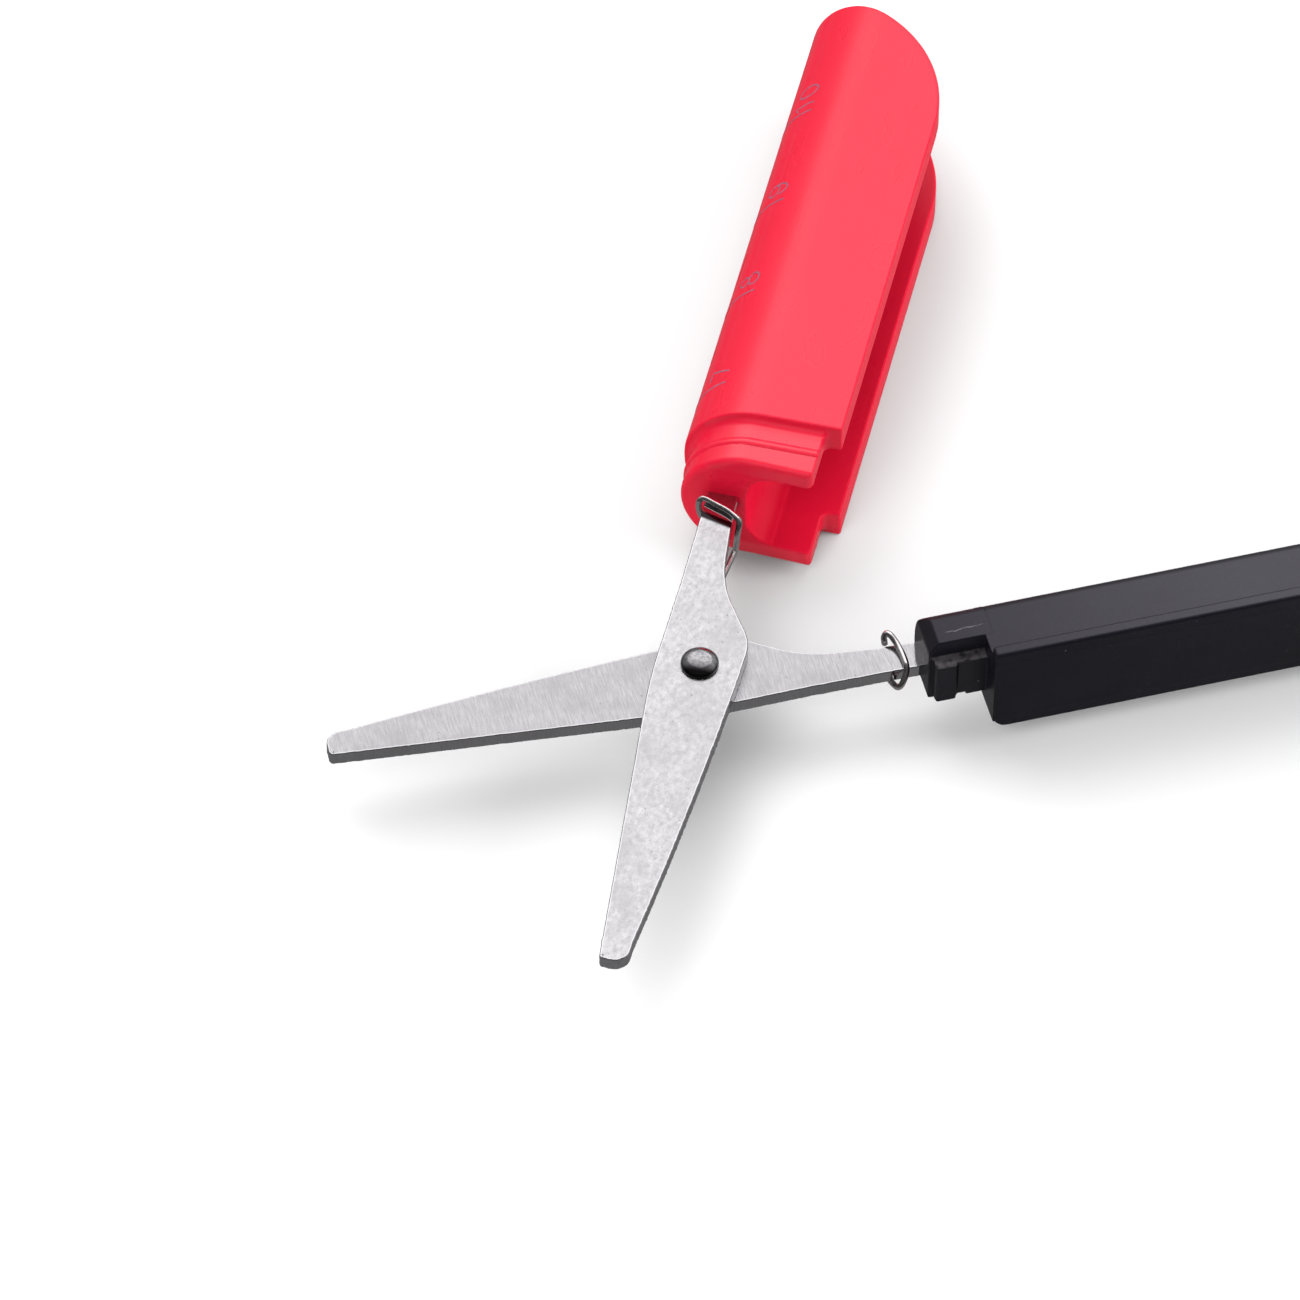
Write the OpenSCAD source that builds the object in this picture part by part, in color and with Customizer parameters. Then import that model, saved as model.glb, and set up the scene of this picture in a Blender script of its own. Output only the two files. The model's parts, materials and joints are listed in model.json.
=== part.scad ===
// Pen-style thread snips, shown open: two half handles that close into one pen-shaped body,
// two twin blades on one rivet, and a wire spring that pushes the handles apart.
//
// Each half is drawn along +Y from the pivot, with the blade tip at -Y and its cutting edge at -X.
// "Along" is the distance from the pivot in Y, and "side" is the place across in X.
// The black half is the mirror image of that, turned about the pivot by the opening angle.
// Heights are counted from the plane where the two blades slide on each other.

/* [Opening] */
// Angle between the two handles when the spring is relaxed, in degrees
open_angle = 62; // [30:1:80]

/* [Blades] */
// Distance from the pivot to the blade tip
blade_reach = 29.3; // [26:0.1:34]
// Thickness of each blade
blade_t = 1.2; // [1:0.05:1.4]
// Gap between the two blades
blade_gap = 0.03; // [0.02:0.01:0.06]
// Half the width of a blade at the pivot
heel_half_w = 3.3; // [3:0.05:3.6]
// How far the tang runs inside its handle
tang_length = 15; // [10:0.5:18]

/* [Handles] */
// Distance from the pivot to the end of the necks
neck_along = 17.1; // [16.8:0.05:17.5]
// Distance from the pivot to the shoulders of the handles
shoulder_along = 21.4; // [21:0.1:23]
// Distance from the pivot to the far end of the handles
handle_reach = 66.5; // [62:0.5:72]
// Radius of the round closed side of the red handle
body_r = 6.35; // [6.2:0.05:6.6]
// Place of the open edges of the red handle, to the side of the pivot
flange_side = 6.3; // [6:0.05:6.6]
// Radius of the neck that the cap slides over
neck_r = 5.6; // [5.4:0.05:5.8]
// Half the height of the channel in the red handle
channel_half_h = 3.8; // [3.6:0.05:4]
// Thickness of the front plate on the black handle
plate_t = 1.1; // [0.9:0.05:1.4]
// Half the height of the front plate on the black handle
plate_half_h = 4.4; // [4.2:0.05:4.8]

/* [Rivet] */
// Radius of the rivet's shank
rivet_r = 1; // [0.9:0.05:1.1]
// Radius of the rivet's domed head
rivet_head_r = 1.48; // [1.3:0.02:1.7]
// Running clearance round the rivet in the lower blade
rivet_clearance = 0.05; // [0.02:0.01:0.08]

/* [Spring] */
// Radius of the spring's wire
wire_r = 0.25; // [0.2:0.01:0.27]
// Radius of the spring's coil, to the middle of the wire
coil_r = 1.55; // [1.45:0.05:1.7]
// Whole turns in the coil, besides the part turn between the legs
coil_turns = 2; // [1:1:3]

/* [Hidden] */
$fn = 64;
tiny = 0.01;
fit_gap = 0.05;           // between the two handles where they close on each other

neck_side = 4.9;          // open edges of the red neck
neck_half_h = 5.55;
bead_along = 18.9;        // ridge round the neck that clicks into the cap
bead_half_w = 0.3;
bead_height = 0.2;
end_wall_t = 2;
end_wall_side = 0.25;     // edge of the red end wall, beside the opening for the black bar
boss_side = -0.35;        // edge of the block that holds the tang
boss_extra = 2;           // how far that block runs past the tang
far_wall_side = 1.6;
far_wall_t = 2.4;
far_corner_r = 2.1;
curve_side = -2.5;        // the far end curves from here to the open edge
curve_along = 12;         // and over this length
channel_left = -4.4;      // deepest line of the channel
channel_floor_r = 2.6;

bar_back = -0.45;         // back of the black bar
bar_half_h = channel_half_h - 0.1;
bar_chamfer_side = 1.6;
bar_chamfer_h = 1.6;
neck_bar_front = -4.6;    // front of the full-height part of the black neck
ledge_front = -5.4;       // front of the lower block on the black neck
ledge_half_h = 2.1;
snap_front = -5.65;       // raised end of that block, which holds the cap
snap_length = 1.7;
neck_chamfer = 0.6;

shank_cut_side = -3.1;    // edges of the blade's shank at the handle
shank_spine_side = -0.74;
tang_left = -2.7;
tang_right = -1.3;
tang_hole_r = 0.4;

coil_top = -(blade_t + wire_r + fit_gap);
coil_pitch = 2 * wire_r + 0.04;
black_axis = 90 - open_angle;                  // direction of the black handle
coil_start = 180;
coil_sweep = black_axis + 90 + 360 * coil_turns;
coil_bottom = coil_top - coil_pitch * coil_sweep / 360;
coil_steps = 27 * coil_turns + 9;
tail_top = coil_bottom - wire_r - fit_gap;
tail_t = 0.65;
tail_r = coil_r + wire_r - fit_gap;

tip_corner_r = 0.35;
tip_cut_side = -0.77;
tip_round_r = 1.2;
tip_round_side = 0.2;
tip_round_along = tip_round_r - blade_reach;

// Arc of points about (cx, cy)
function arc(cx, cy, r, from, to, steps) =
    [for (i = [0:steps]) let (a = from + (to - from) * i / steps) [cx + r * cos(a), cy + r * sin(a)]];

// Curve from a to c, drawn towards b
function bend(a, b, c, steps) =
    [for (i = [0:steps]) let (t = i / steps) (1 - t) * (1 - t) * a + 2 * t * (1 - t) * b + t * t * c];

function unit(v) = v / norm(v);

// Quarter of an ellipse that ends the handles, out to a given side
function far_curve(side, steps) =
    [for (i = [0:steps]) let (a = 90 - 90 * i / steps)
        [curve_side + (side - curve_side) * cos(a), handle_reach - curve_along * (1 - sin(a))]];

// A point of the black half, turned to where it lies when the snips are open
function on_black(p) = let (x = -p[0], y = p[1]) [
    x * cos(-open_angle) - y * sin(-open_angle),
    x * sin(-open_angle) + y * cos(-open_angle)
];

plate_side = flange_side + fit_gap + plate_t;

// The origin is the middle of the open snips' box, at its base. The widest places are the red
// handle's far end, the tip of the upper blade, the tip of the lower blade, and the corner of the
// black handle where its plate starts to curve.
black_edge = [for (p = far_curve(plate_side, 24)) on_black([-p[0], p[1]])];
black_tip = on_black([tip_cut_side + tip_corner_r, tip_corner_r - blade_reach]);
black_tip_round = on_black([tip_round_side, tip_round_along]);
box_right = max([for (p = black_edge) p[0]]);
box_left = min(black_tip[0] - tip_corner_r, black_tip_round[0] - tip_round_r);
box_front = -blade_reach;
box_back = handle_reach;
origin_shift = [-(box_left + box_right) / 2, -(box_front + box_back) / 2, body_r];

module open_snips() {
    translate(origin_shift) children();
}

module turned_to_black() {
    rotate([0, 0, -open_angle]) mirror([1, 0, 0]) children();
}

// ---------------------------------------------------------------- blades

function blade_outline() = concat(
    // cutting edge, from the tip to the pivot, then along the shank
    arc(tip_cut_side + tip_corner_r, tip_corner_r - blade_reach, tip_corner_r, 270, 180, 5),
    bend([-3.15, -5], [-heel_half_w - 0.12, -2.6], [-heel_half_w - 0.1, 0.5], 6),
    [[shank_cut_side - 0.1, 8], [shank_cut_side, neck_along]],
    // shoulder where the shank becomes the tang
    [[shank_cut_side, neck_along + 0.9], [tang_left, neck_along + 0.9],
     [tang_left, neck_along + tang_length], [tang_right, neck_along + tang_length],
     [tang_right, neck_along + 0.9], [shank_spine_side, neck_along + 0.9]],
    // spine, from the handle back to the tip
    [[shank_spine_side, neck_along], [-0.6, 14]],
    bend([-0.25, 10.5], [0.1, 8], [1.1, 6.4], 6),
    bend([2.5, 4.2], [heel_half_w, 3.1], [heel_half_w - 0.05, 1.6], 6),
    bend([heel_half_w - 0.1, -1], [2.7, -14], [tip_round_side + tip_round_r + 0.02, -27.2], 8),
    arc(tip_round_side, tip_round_along, tip_round_r, 0, -90, 8)
);

// Flat blade from z = 0 up, with its pivot hole and the hole that the handle's plastic fills
module blade_plate(hole_r, thickness) {
    difference() {
        linear_extrude(height = thickness) polygon(blade_outline());
        translate([0, 0, -1]) cylinder(h = thickness + 2, r = hole_r);
        tang_holes(thickness);
    }
}

module tang_holes(thickness) {
    for (along = [neck_along + 5, neck_along + 11])
        translate([(tang_left + tang_right) / 2, along, -1])
            cylinder(h = thickness + 2, r = tang_hole_r);
}

module upper_blade() {
    color("#c9c8cb") open_snips()
        translate([0, 0, blade_gap / 2]) blade_plate(rivet_r, blade_t - blade_gap / 2);
}

module lower_blade() {
    color("#b9b9bd") open_snips() turned_to_black()
        translate([0, 0, -blade_t]) blade_plate(rivet_r + rivet_clearance, blade_t - blade_gap / 2);
}

// Room for the tang, leaving the plastic that fills its holes
module tang_room(z) {
    translate([0, 0, z]) difference() {
        linear_extrude(height = blade_t - blade_gap / 2) intersection() {
            polygon(blade_outline());
            translate([-10, neck_along - tiny]) square([20, 60]);
        }
        tang_holes(blade_t);
    }
}

// ---------------------------------------------------------------- red handle

far_wall_along = handle_reach - far_wall_t;

// Outline of the red handle from above, between the shoulder and the far end
function red_plan() = concat(
    [[flange_side, shoulder_along], [-body_r - 1, shoulder_along]],
    [[-body_r - 1, handle_reach - far_corner_r - 1]],
    arc(-body_r + far_corner_r, handle_reach - far_corner_r, far_corner_r, 180, 90, 8),
    far_curve(flange_side, 24)
);

// D-shaped section with a round side of radius r, cut off at a side and at a height
module d_section(r, side, half_h) {
    intersection() {
        union() {
            circle(r = r, $fn = 128);
            translate([0, -r]) square([side, 2 * r]);
        }
        translate([-r - 1, -half_h]) square([r + 1 + side, 2 * half_h]);
    }
}

// A section drawn in X and Z, run along Y between two distances
module along_handle(from, to) {
    translate([0, to, 0]) rotate([90, 0, 0]) linear_extrude(height = to - from) children();
}

module red_outside() {
    intersection() {
        along_handle(shoulder_along, handle_reach + 1) d_section(body_r, flange_side, body_r);
        translate([0, 0, -body_r]) linear_extrude(height = 2 * body_r) polygon(red_plan());
    }
    along_handle(neck_along, shoulder_along + tiny) d_section(neck_r, neck_side, neck_half_h);
    along_handle(bead_along - bead_half_w, bead_along + bead_half_w)
        d_section(neck_r + bead_height, neck_side, neck_half_h + bead_height);
}

module channel_section() {
    translate([channel_left + channel_floor_r, -channel_half_h])
        square([flange_side - channel_left, 2 * channel_half_h]);
    translate([channel_left, -channel_half_h + channel_floor_r])
        square([flange_side, 2 * (channel_half_h - channel_floor_r)]);
    for (z = [-1, 1])
        translate([channel_left + channel_floor_r, z * (channel_half_h - channel_floor_r)])
            circle(r = channel_floor_r);
}

// Stretch of the channel that is open from a given side outwards
module channel_opening(from, to, side) {
    along_handle(from, to) intersection() {
        channel_section();
        translate([side, -10]) square([20, 20]);
    }
}

module outer_handle() {
    boss_along = neck_along + tang_length + boss_extra;
    color("#f5364f") open_snips() difference() {
        red_outside();
        channel_opening(neck_along - 1, neck_along + end_wall_t, end_wall_side);
        channel_opening(neck_along + end_wall_t - tiny, boss_along, boss_side);
        channel_opening(boss_along - tiny, far_wall_along, channel_left - 1);
        channel_opening(far_wall_along - tiny, handle_reach + 1, far_wall_side);
        tang_room(blade_gap / 2);
    }
}

// ---------------------------------------------------------------- black handle

function bar_section() = [
    [bar_back, -bar_half_h + bar_chamfer_h], [bar_back, bar_half_h - bar_chamfer_h],
    [bar_back - bar_chamfer_side, bar_half_h], [-plate_side, bar_half_h],
    [-plate_side, -bar_half_h], [bar_back - bar_chamfer_side, -bar_half_h]
];

// Outline of the black handle from above, with its far end curved like the red one
module black_plan(side) {
    mirror([1, 0]) polygon(concat(
        far_curve(side, 24),
        [[side, shoulder_along], [-1, shoulder_along], [-1, handle_reach]]
    ));
}

module inner_handle() {
    color("#26262b") open_snips() turned_to_black() difference() {
        union() {
            // bar that fills the channel of the red handle
            intersection() {
                along_handle(shoulder_along - tiny, handle_reach) polygon(bar_section());
                translate([0, 0, -plate_half_h]) linear_extrude(height = 2 * plate_half_h)
                    black_plan(plate_side);
            }
            // plate that covers the channel's open side
            translate([0, 0, -plate_half_h]) linear_extrude(height = 2 * plate_half_h)
                intersection() {
                    difference() {
                        black_plan(plate_side);
                        translate([0, -1]) black_plan(flange_side + fit_gap);
                        black_plan(flange_side + fit_gap);
                    }
                    translate([-20, shoulder_along + fit_gap]) square([20 + bar_back - 2, 60]);
                }
            black_neck();
        }
        tang_room(-blade_t);
        // room for the far wall of the red handle
        translate([-far_wall_side - fit_gap, far_wall_along - 2 * fit_gap, -10]) cube([10, 10, 20]);
    }
}

// Side view of the black neck, with the edges of its end cut back
function neck_side_view() = [
    [neck_along, -bar_half_h + 1.5 * neck_chamfer], [neck_along, bar_half_h - 1.5 * neck_chamfer],
    [neck_along + neck_chamfer, bar_half_h], [shoulder_along + tiny, bar_half_h],
    [shoulder_along + tiny, -bar_half_h], [neck_along + neck_chamfer, -bar_half_h]
];

module black_neck() {
    intersection() {
        along_handle(neck_along, shoulder_along + tiny) polygon(bar_section());
        translate([neck_bar_front, 0, 0]) rotate([90, 0, 90])
            linear_extrude(height = 10) polygon(neck_side_view());
    }
    translate([ledge_front, neck_along + 0.2, -ledge_half_h])
        cube([4, shoulder_along - neck_along, 2 * ledge_half_h]);
    translate([snap_front, neck_along + 0.2, -ledge_half_h])
        cube([4, snap_length, 2 * ledge_half_h]);
}

// ---------------------------------------------------------------- rivet

module pivot_rivet() {
    head_h = 0.85;
    dome_r = (rivet_head_r * rivet_head_r + head_h * head_h) / (2 * head_h);
    color("#77767c") open_snips() {
        // shank
        translate([0, 0, tail_top - tiny]) cylinder(h = blade_t - tail_top + 2 * tiny, r = rivet_r);
        // domed head
        translate([0, 0, blade_t]) intersection() {
            translate([0, 0, head_h - dome_r]) sphere(r = dome_r);
            cylinder(h = head_h + 1, r = rivet_head_r);
        }
        // peened tail under the coil
        translate([0, 0, tail_top - tail_t]) cylinder(h = tail_t, r = tail_r);
    }
}

// ---------------------------------------------------------------- spring

// Route of the wire on the red side: along under the shank, up beside it, over it and down
red_leg = [
    [-1.55, 0.6, coil_top], [-1.2, 5, coil_top], [-0.85, 10.5, coil_top], [-0.55, 13.4, coil_top],
    [-0.42, 13.9, -1.1], [-0.33, 14, 0.1], [-0.28, 14.25, 0.9], [-0.32, 14.55, 1.35],
    [-0.6, 14.82, 1.5], [-1.34, 15.32, 1.5], [-2.44, 15.76, 1.5], [-3.45, 16.12, 1.5],
    [-3.8, 16, 1.3], [-3.88, 15.92, 0.8], [-3.8, 15.83, 0.2], [-3.63, 15.78, -0.3]
];

// The same on the black side, where the wire comes up at the cutting edge and ends at the spine
black_leg = [
    [-1.6, 0.7, coil_bottom], [-1.75, 3, -2.2], [-1.95, 6, -1.6], [-2.2, 10, coil_top],
    [-2.35, 13.3, coil_top], [-2.65, 14.15, coil_top], [-3.3, 14.45, coil_top],
    [-3.87, 14.65, -1.4], [-4.1, 14.85, -1.15], [-4, 15.14, -0.75], [-3.6, 15.47, -0.15],
    [-3.2, 15.55, 0.26], [-2.4, 15.55, 0.3], [-1.6, 15.45, 0.36], [-0.99, 15.3, 0.5],
    [-0.45, 15.05, 0.7], [-0.2, 14.82, 0.68], [-0.22, 14.62, 0.35], [-0.33, 14.61, 0],
    [-0.33, 14.66, -0.35]
];

// Smooth curve through a list of points, with a few steps between each two
function through(points, steps) = concat(
    [for (i = [0:len(points) - 2]) for (k = [0:steps - 1])
        let (
            t = k / steps,
            a = points[max(i - 1, 0)], b = points[i],
            c = points[i + 1], d = points[min(i + 2, len(points) - 1)]
        )
        0.5 * (2 * b + (c - a) * t + (2 * a - 5 * b + 4 * c - d) * t * t
            + (3 * b - a - 3 * c + d) * t * t * t)],
    [points[len(points) - 1]]
);

coil = [for (i = [1:coil_steps - 1])
    let (share = i / coil_steps, a = coil_start + coil_sweep * share)
        [coil_r * cos(a), coil_r * sin(a), coil_top + (coil_bottom - coil_top) * share]];

wire_path = concat(
    [for (i = [len(red_leg) - 1:-1:0]) red_leg[i]],
    [[-coil_r, 0, coil_top]]
);
black_path = concat(
    [[-coil_r, 0, coil_bottom]],
    black_leg
);

// Wire as one closed tube of small flat faces, kept square to its route without twisting
module wire(path, sides) {
    last = len(path) - 1;
    along = [for (i = [0:last]) unit(path[min(i + 1, last)] - path[max(i - 1, 0)])];
    start = unit(cross(along[0], [0.3, 1, 0.2]));
    across = [for (i = 0, n = start; i <= last;
        i = i + 1, n = i <= last ? unit(n - (n * along[i]) * along[i]) : n) n];
    ring = [for (i = [0:last]) for (k = [0:sides - 1])
        let (a = 360 * k / sides)
            path[i] + wire_r * (cos(a) * across[i] + sin(a) * cross(along[i], across[i]))];
    sheath = [for (i = [0:last - 1]) for (k = [0:sides - 1])
        let (n = (k + 1) % sides)
            [i * sides + k, (i + 1) * sides + k, (i + 1) * sides + n, i * sides + n]];
    first_cap = [for (k = [0:sides - 1]) k];
    last_cap = [for (k = [sides - 1:-1:0]) last * sides + k];
    polyhedron(ring, concat([first_cap], sheath, [last_cap]), convexity = 10);
}

module opening_spring() {
    black_side = [for (p = through(black_path, 3)) let (q = on_black(p)) [q[0], q[1], p[2]]];
    path = concat(through(wire_path, 3), coil, black_side);
    color("#9a989c") open_snips() wire(path, 8);
}

outer_handle();
inner_handle();
upper_blade();
lower_blade();
pivot_rivet();
opening_spring();
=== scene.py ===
"""Thread snips, open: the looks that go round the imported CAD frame.

Each half has its own axes in millimetres, from the pivot: "side" is across the blade, with the
cutting edge at the low end, "along" runs up the handle, and "up" is the height over the plane where
the blades slide. The black half is the mirror image of that, turned by the opening angle.
"""

import json
import math

import bmesh
import bpy
import numpy as np
from mathutils import Matrix, Vector
from mathutils.geometry import tessellate_polygon

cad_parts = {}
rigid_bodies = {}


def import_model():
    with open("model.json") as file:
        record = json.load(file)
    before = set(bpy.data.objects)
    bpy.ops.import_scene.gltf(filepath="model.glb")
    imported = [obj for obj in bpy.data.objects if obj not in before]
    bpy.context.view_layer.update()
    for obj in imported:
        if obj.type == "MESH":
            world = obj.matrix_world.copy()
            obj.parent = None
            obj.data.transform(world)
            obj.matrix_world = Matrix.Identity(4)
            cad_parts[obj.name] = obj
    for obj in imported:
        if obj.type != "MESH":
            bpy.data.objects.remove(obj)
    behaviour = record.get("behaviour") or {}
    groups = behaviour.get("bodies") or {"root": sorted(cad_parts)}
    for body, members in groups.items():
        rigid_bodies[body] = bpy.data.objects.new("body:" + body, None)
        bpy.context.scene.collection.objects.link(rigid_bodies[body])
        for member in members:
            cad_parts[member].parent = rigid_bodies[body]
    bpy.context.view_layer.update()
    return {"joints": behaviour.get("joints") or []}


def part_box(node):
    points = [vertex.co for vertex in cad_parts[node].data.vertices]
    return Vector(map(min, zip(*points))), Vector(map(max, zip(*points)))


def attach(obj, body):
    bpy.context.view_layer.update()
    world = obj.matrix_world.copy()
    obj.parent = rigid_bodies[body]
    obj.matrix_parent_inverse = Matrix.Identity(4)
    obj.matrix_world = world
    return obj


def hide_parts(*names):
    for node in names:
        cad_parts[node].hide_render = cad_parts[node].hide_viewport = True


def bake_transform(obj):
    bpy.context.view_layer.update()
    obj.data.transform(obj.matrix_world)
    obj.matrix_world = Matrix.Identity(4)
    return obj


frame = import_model()

MM = 0.001
JOINT = frame["joints"][0]
PIVOT = np.array(JOINT["pos_m"])
OPEN_ANGLE = math.radians(JOINT["range_deg"][1])
OUTER, INNER = JOINT["parent"], JOINT["child"]

# ------------------------------------------------------------------ sizes, in millimetres

BLADE_TOP = (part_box("upper_blade")[1].z - PIVOT[2]) / MM
BLADE_REACH = 29.3
NECK = 17.1
SHOULDER = 21.4
REACH = 67.05
BODY_R = 6.35
WIDEN = 1 / 0.987
FLANGE = 6.3
NECK_R = 5.6
NECK_SIDE = 4.9
NECK_HALF = 5.55
CHANNEL_HALF = 3.8
WALL_END = 19.1
BOSS_END = 34.1
CHANNEL_END = 64.1
NOSE_SIDE = 1.6
CHANNEL_CORNER = 2.3
FLARE = 0.42
RIDGE_ALONG, RIDGE_HALF, RIDGE_HEIGHT = 19.2, 0.34, 0.17
END_SLANT = 0.045
CURVE_SIDE = -5.1
CURVE_ALONG = 12.15
PLATE_SIDE = 7.45
PLATE_HALF = 4.4
BAR_HALF = 3.7
BAR_FRONT, BAR_DEPTH = 2.45, 2.0
NOTCH_SIDE, NOTCH_ALONG = 1.66, 63.98
NECK_FRONT, NECK_LOW = 4.6, 2.85
LEDGE_SIDE, SNAP_SIDE = 5.4, 5.65
SNAP_HALF, SNAP_END = 2.1, 19.0
DIP_ALONG, DIP_HALF, DIP_LOW = 19.35, 0.4, 1.8
WIRE_R = 0.25
COIL_R = 1.55


# ------------------------------------------------------------------ from each half to the frame


def on_red(points):
    """Millimetres of the red half to metres in the frame."""
    return np.asarray(points, float) * MM + PIVOT


def on_black(points):
    """Millimetres of the black half to metres in the frame."""
    p = np.asarray(points, float)
    c, s = math.cos(OPEN_ANGLE), math.sin(OPEN_ANGLE)
    turned = np.stack([-p[:, 0] * c + p[:, 1] * s, p[:, 0] * s + p[:, 1] * c, p[:, 2]], axis=1)
    return turned * MM + PIVOT


HALVES = {"red": (on_red, OUTER), "black": (on_black, INNER)}


def make_piece(name, points, faces, half, material, smooth=True, rides=True):
    """Mesh piece from points of one half. Each vertex keeps them as the attribute "part"."""
    place, body = HALVES[half]
    mesh = bpy.data.meshes.new(name)
    if half == "black":
        faces = [tuple(reversed(f)) for f in faces]
    mesh.from_pydata(place(points).tolist(), [], [tuple(f) for f in faces])
    kept = mesh.attributes.new("part", "FLOAT_VECTOR", "POINT")
    kept.data.foreach_set("vector", np.asarray(points, np.float32).ravel())
    if smooth:
        mesh.shade_smooth()
    else:
        mesh.shade_flat()
    mesh.materials.append(material)
    piece = bpy.data.objects.new(name, mesh)
    bpy.context.scene.collection.objects.link(piece)
    if rides:
        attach(piece, body)
    return piece


# ------------------------------------------------------------------ solids as distance fields


def both(a, b, r=0.0):
    """Where a and b are both inside, with an outside corner of radius r between them."""
    if r == 0:
        return np.maximum(a, b)
    corner = np.hypot(np.maximum(a + r, 0), np.maximum(b + r, 0))
    return np.minimum(-r, np.maximum(a, b)) + corner


def either(a, b, r=0.0):
    """Where a or b is inside, with an inside corner of radius r between them."""
    return -both(-a, -b, r)


def far_end(side, along, edge):
    """Plan limit of a handle: its open edge, and the long curve that runs to its far end."""
    width = edge - CURVE_SIDE
    x = np.maximum(side - CURVE_SIDE, 1e-6)
    y = np.maximum(along - (REACH - CURVE_ALONG), 1e-6)
    k0 = np.hypot(x / width, y / CURVE_ALONG)
    k1 = np.hypot(x / width**2, y / CURVE_ALONG**2)
    curve = k0 * (k0 - 1) / k1
    in_curve = (side > CURVE_SIDE) & (along > REACH - CURVE_ALONG)
    return np.where(in_curve, curve, np.maximum(side - edge, along - REACH))


def half_round(side, up, radius):
    """D-shaped section: a half circle on the closed side that runs on as a slab."""
    return np.where(side < 0, np.hypot(side, up), up) - radius


def groove(side, up, left, corner_r):
    """Section of the channel, open to the side, with round corners at its floor."""
    return both(left - side, up - CHANNEL_HALF, corner_r)


def red_field(side, along, up):
    """Red handle: below zero inside it, and above zero outside."""
    # the lower flange reaches out a little further, towards its outer face
    flare = FLARE * np.clip((-up - 4.4) / 1.2, 0, 1)
    up = np.abs(up)
    body = both(half_round(side / WIDEN, up, BODY_R), side - FLANGE - flare, 0.12)
    end = both(far_end(side, along, FLANGE), -BODY_R * WIDEN - side, 0.5)
    body = both(body, end, 0.2)
    body = both(body, SHOULDER - along, 0.2)

    swell = np.clip(1 - ((along - RIDGE_ALONG) / RIDGE_HALF) ** 2, 0, 1) ** 0.75
    neck = np.maximum(half_round(side * 0.98, up, NECK_R), up - NECK_HALF) - RIDGE_HEIGHT * swell
    neck = both(neck, side - NECK_SIDE, 0.2)
    neck = both(neck, NECK - END_SLANT * np.clip(side, 0, 5) - along, 0.55)
    neck = np.maximum(neck, along - SHOULDER - 1)
    body = either(body, neck, 0.7)

    wall = np.maximum(groove(side, up, 0.05, CHANNEL_CORNER), along - WALL_END)
    boss = np.maximum(groove(side, up, -0.35, CHANNEL_CORNER), along - BOSS_END)
    floor = both(groove(side, up, -4.4, 2.6), BOSS_END - along, 0.25)
    floor = both(floor, along - CHANNEL_END, 0.4)
    nose = groove(side, up, NOSE_SIDE, 0.3)
    channel = either(either(wall, boss), either(floor, nose), 0.15)
    return both(body, -channel, 0.17)


def black_field(side, along, up):
    """Black handle, on the axes of the red half that it closes into."""
    tall = up
    up = np.abs(up)
    plan = far_end(side, along, PLATE_SIDE)
    across = np.maximum(BAR_FRONT - side, 0) / BAR_DEPTH
    bar = np.maximum((np.hypot(across, up / BAR_HALF) - 1) * BAR_DEPTH, up - BAR_HALF)
    body = both(bar, plan, 0.3)
    body = np.maximum(body, SHOULDER - along)
    notch = np.maximum(side - NOTCH_SIDE, NOTCH_ALONG - along)
    body = both(body, -notch, 0.1)

    inner_curve = far_end(side, along + 0.02, FLANGE + 0.05)
    plate = both(-inner_curve, plan, 0.12)
    plate = both(plate, up - PLATE_HALF, 0.3)
    # the corner of the plate under the neck is rounded off
    corner = both(SHOULDER + 0.05 - along, -PLATE_HALF - tall, 1.3)
    plate = both(plate, corner, 0.25)
    plate = np.maximum(plate, BAR_FRONT - side)
    body = either(body, plate, 0.05)

    neck = both(bar, side - NECK_FRONT, 0.12)
    slope = (up - (BAR_HALF - 0.9) - (along - NECK) * 1.5) / math.hypot(1, 1.5)
    neck = both(neck, slope, 0.1)
    neck = both(neck, -tall - NECK_LOW, 0.4)
    neck = both(neck, NECK - 0.15 - along, 0.12)
    ledge = both(side - LEDGE_SIDE, up - SNAP_HALF, 0.15)
    snap = both(side - SNAP_SIDE, both(up - SNAP_HALF, along - SNAP_END, 0.2), 0.2)
    ledge = either(ledge, snap, 0.15)
    dip = np.maximum(np.abs(along - DIP_ALONG) - DIP_HALF, tall + DIP_LOW)
    ledge = both(ledge, -dip, 0.15)
    ledge = both(ledge, NECK + 0.2 - along, 0.25)
    ledge = np.maximum(ledge, 1.5 - side)
    neck = either(neck, ledge, 0.08)
    neck = np.maximum(neck, along - SHOULDER - 0.6)
    return either(body, neck, 0.05)


def steps(*stretches):
    """Grid lines through stretches of (from, to, spacing), without doubles."""
    lines = [np.linspace(a, b, max(2, int(round((b - a) / d)) + 1)) for a, b, d in stretches]
    return np.unique(np.round(np.concatenate(lines), 6))


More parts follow.
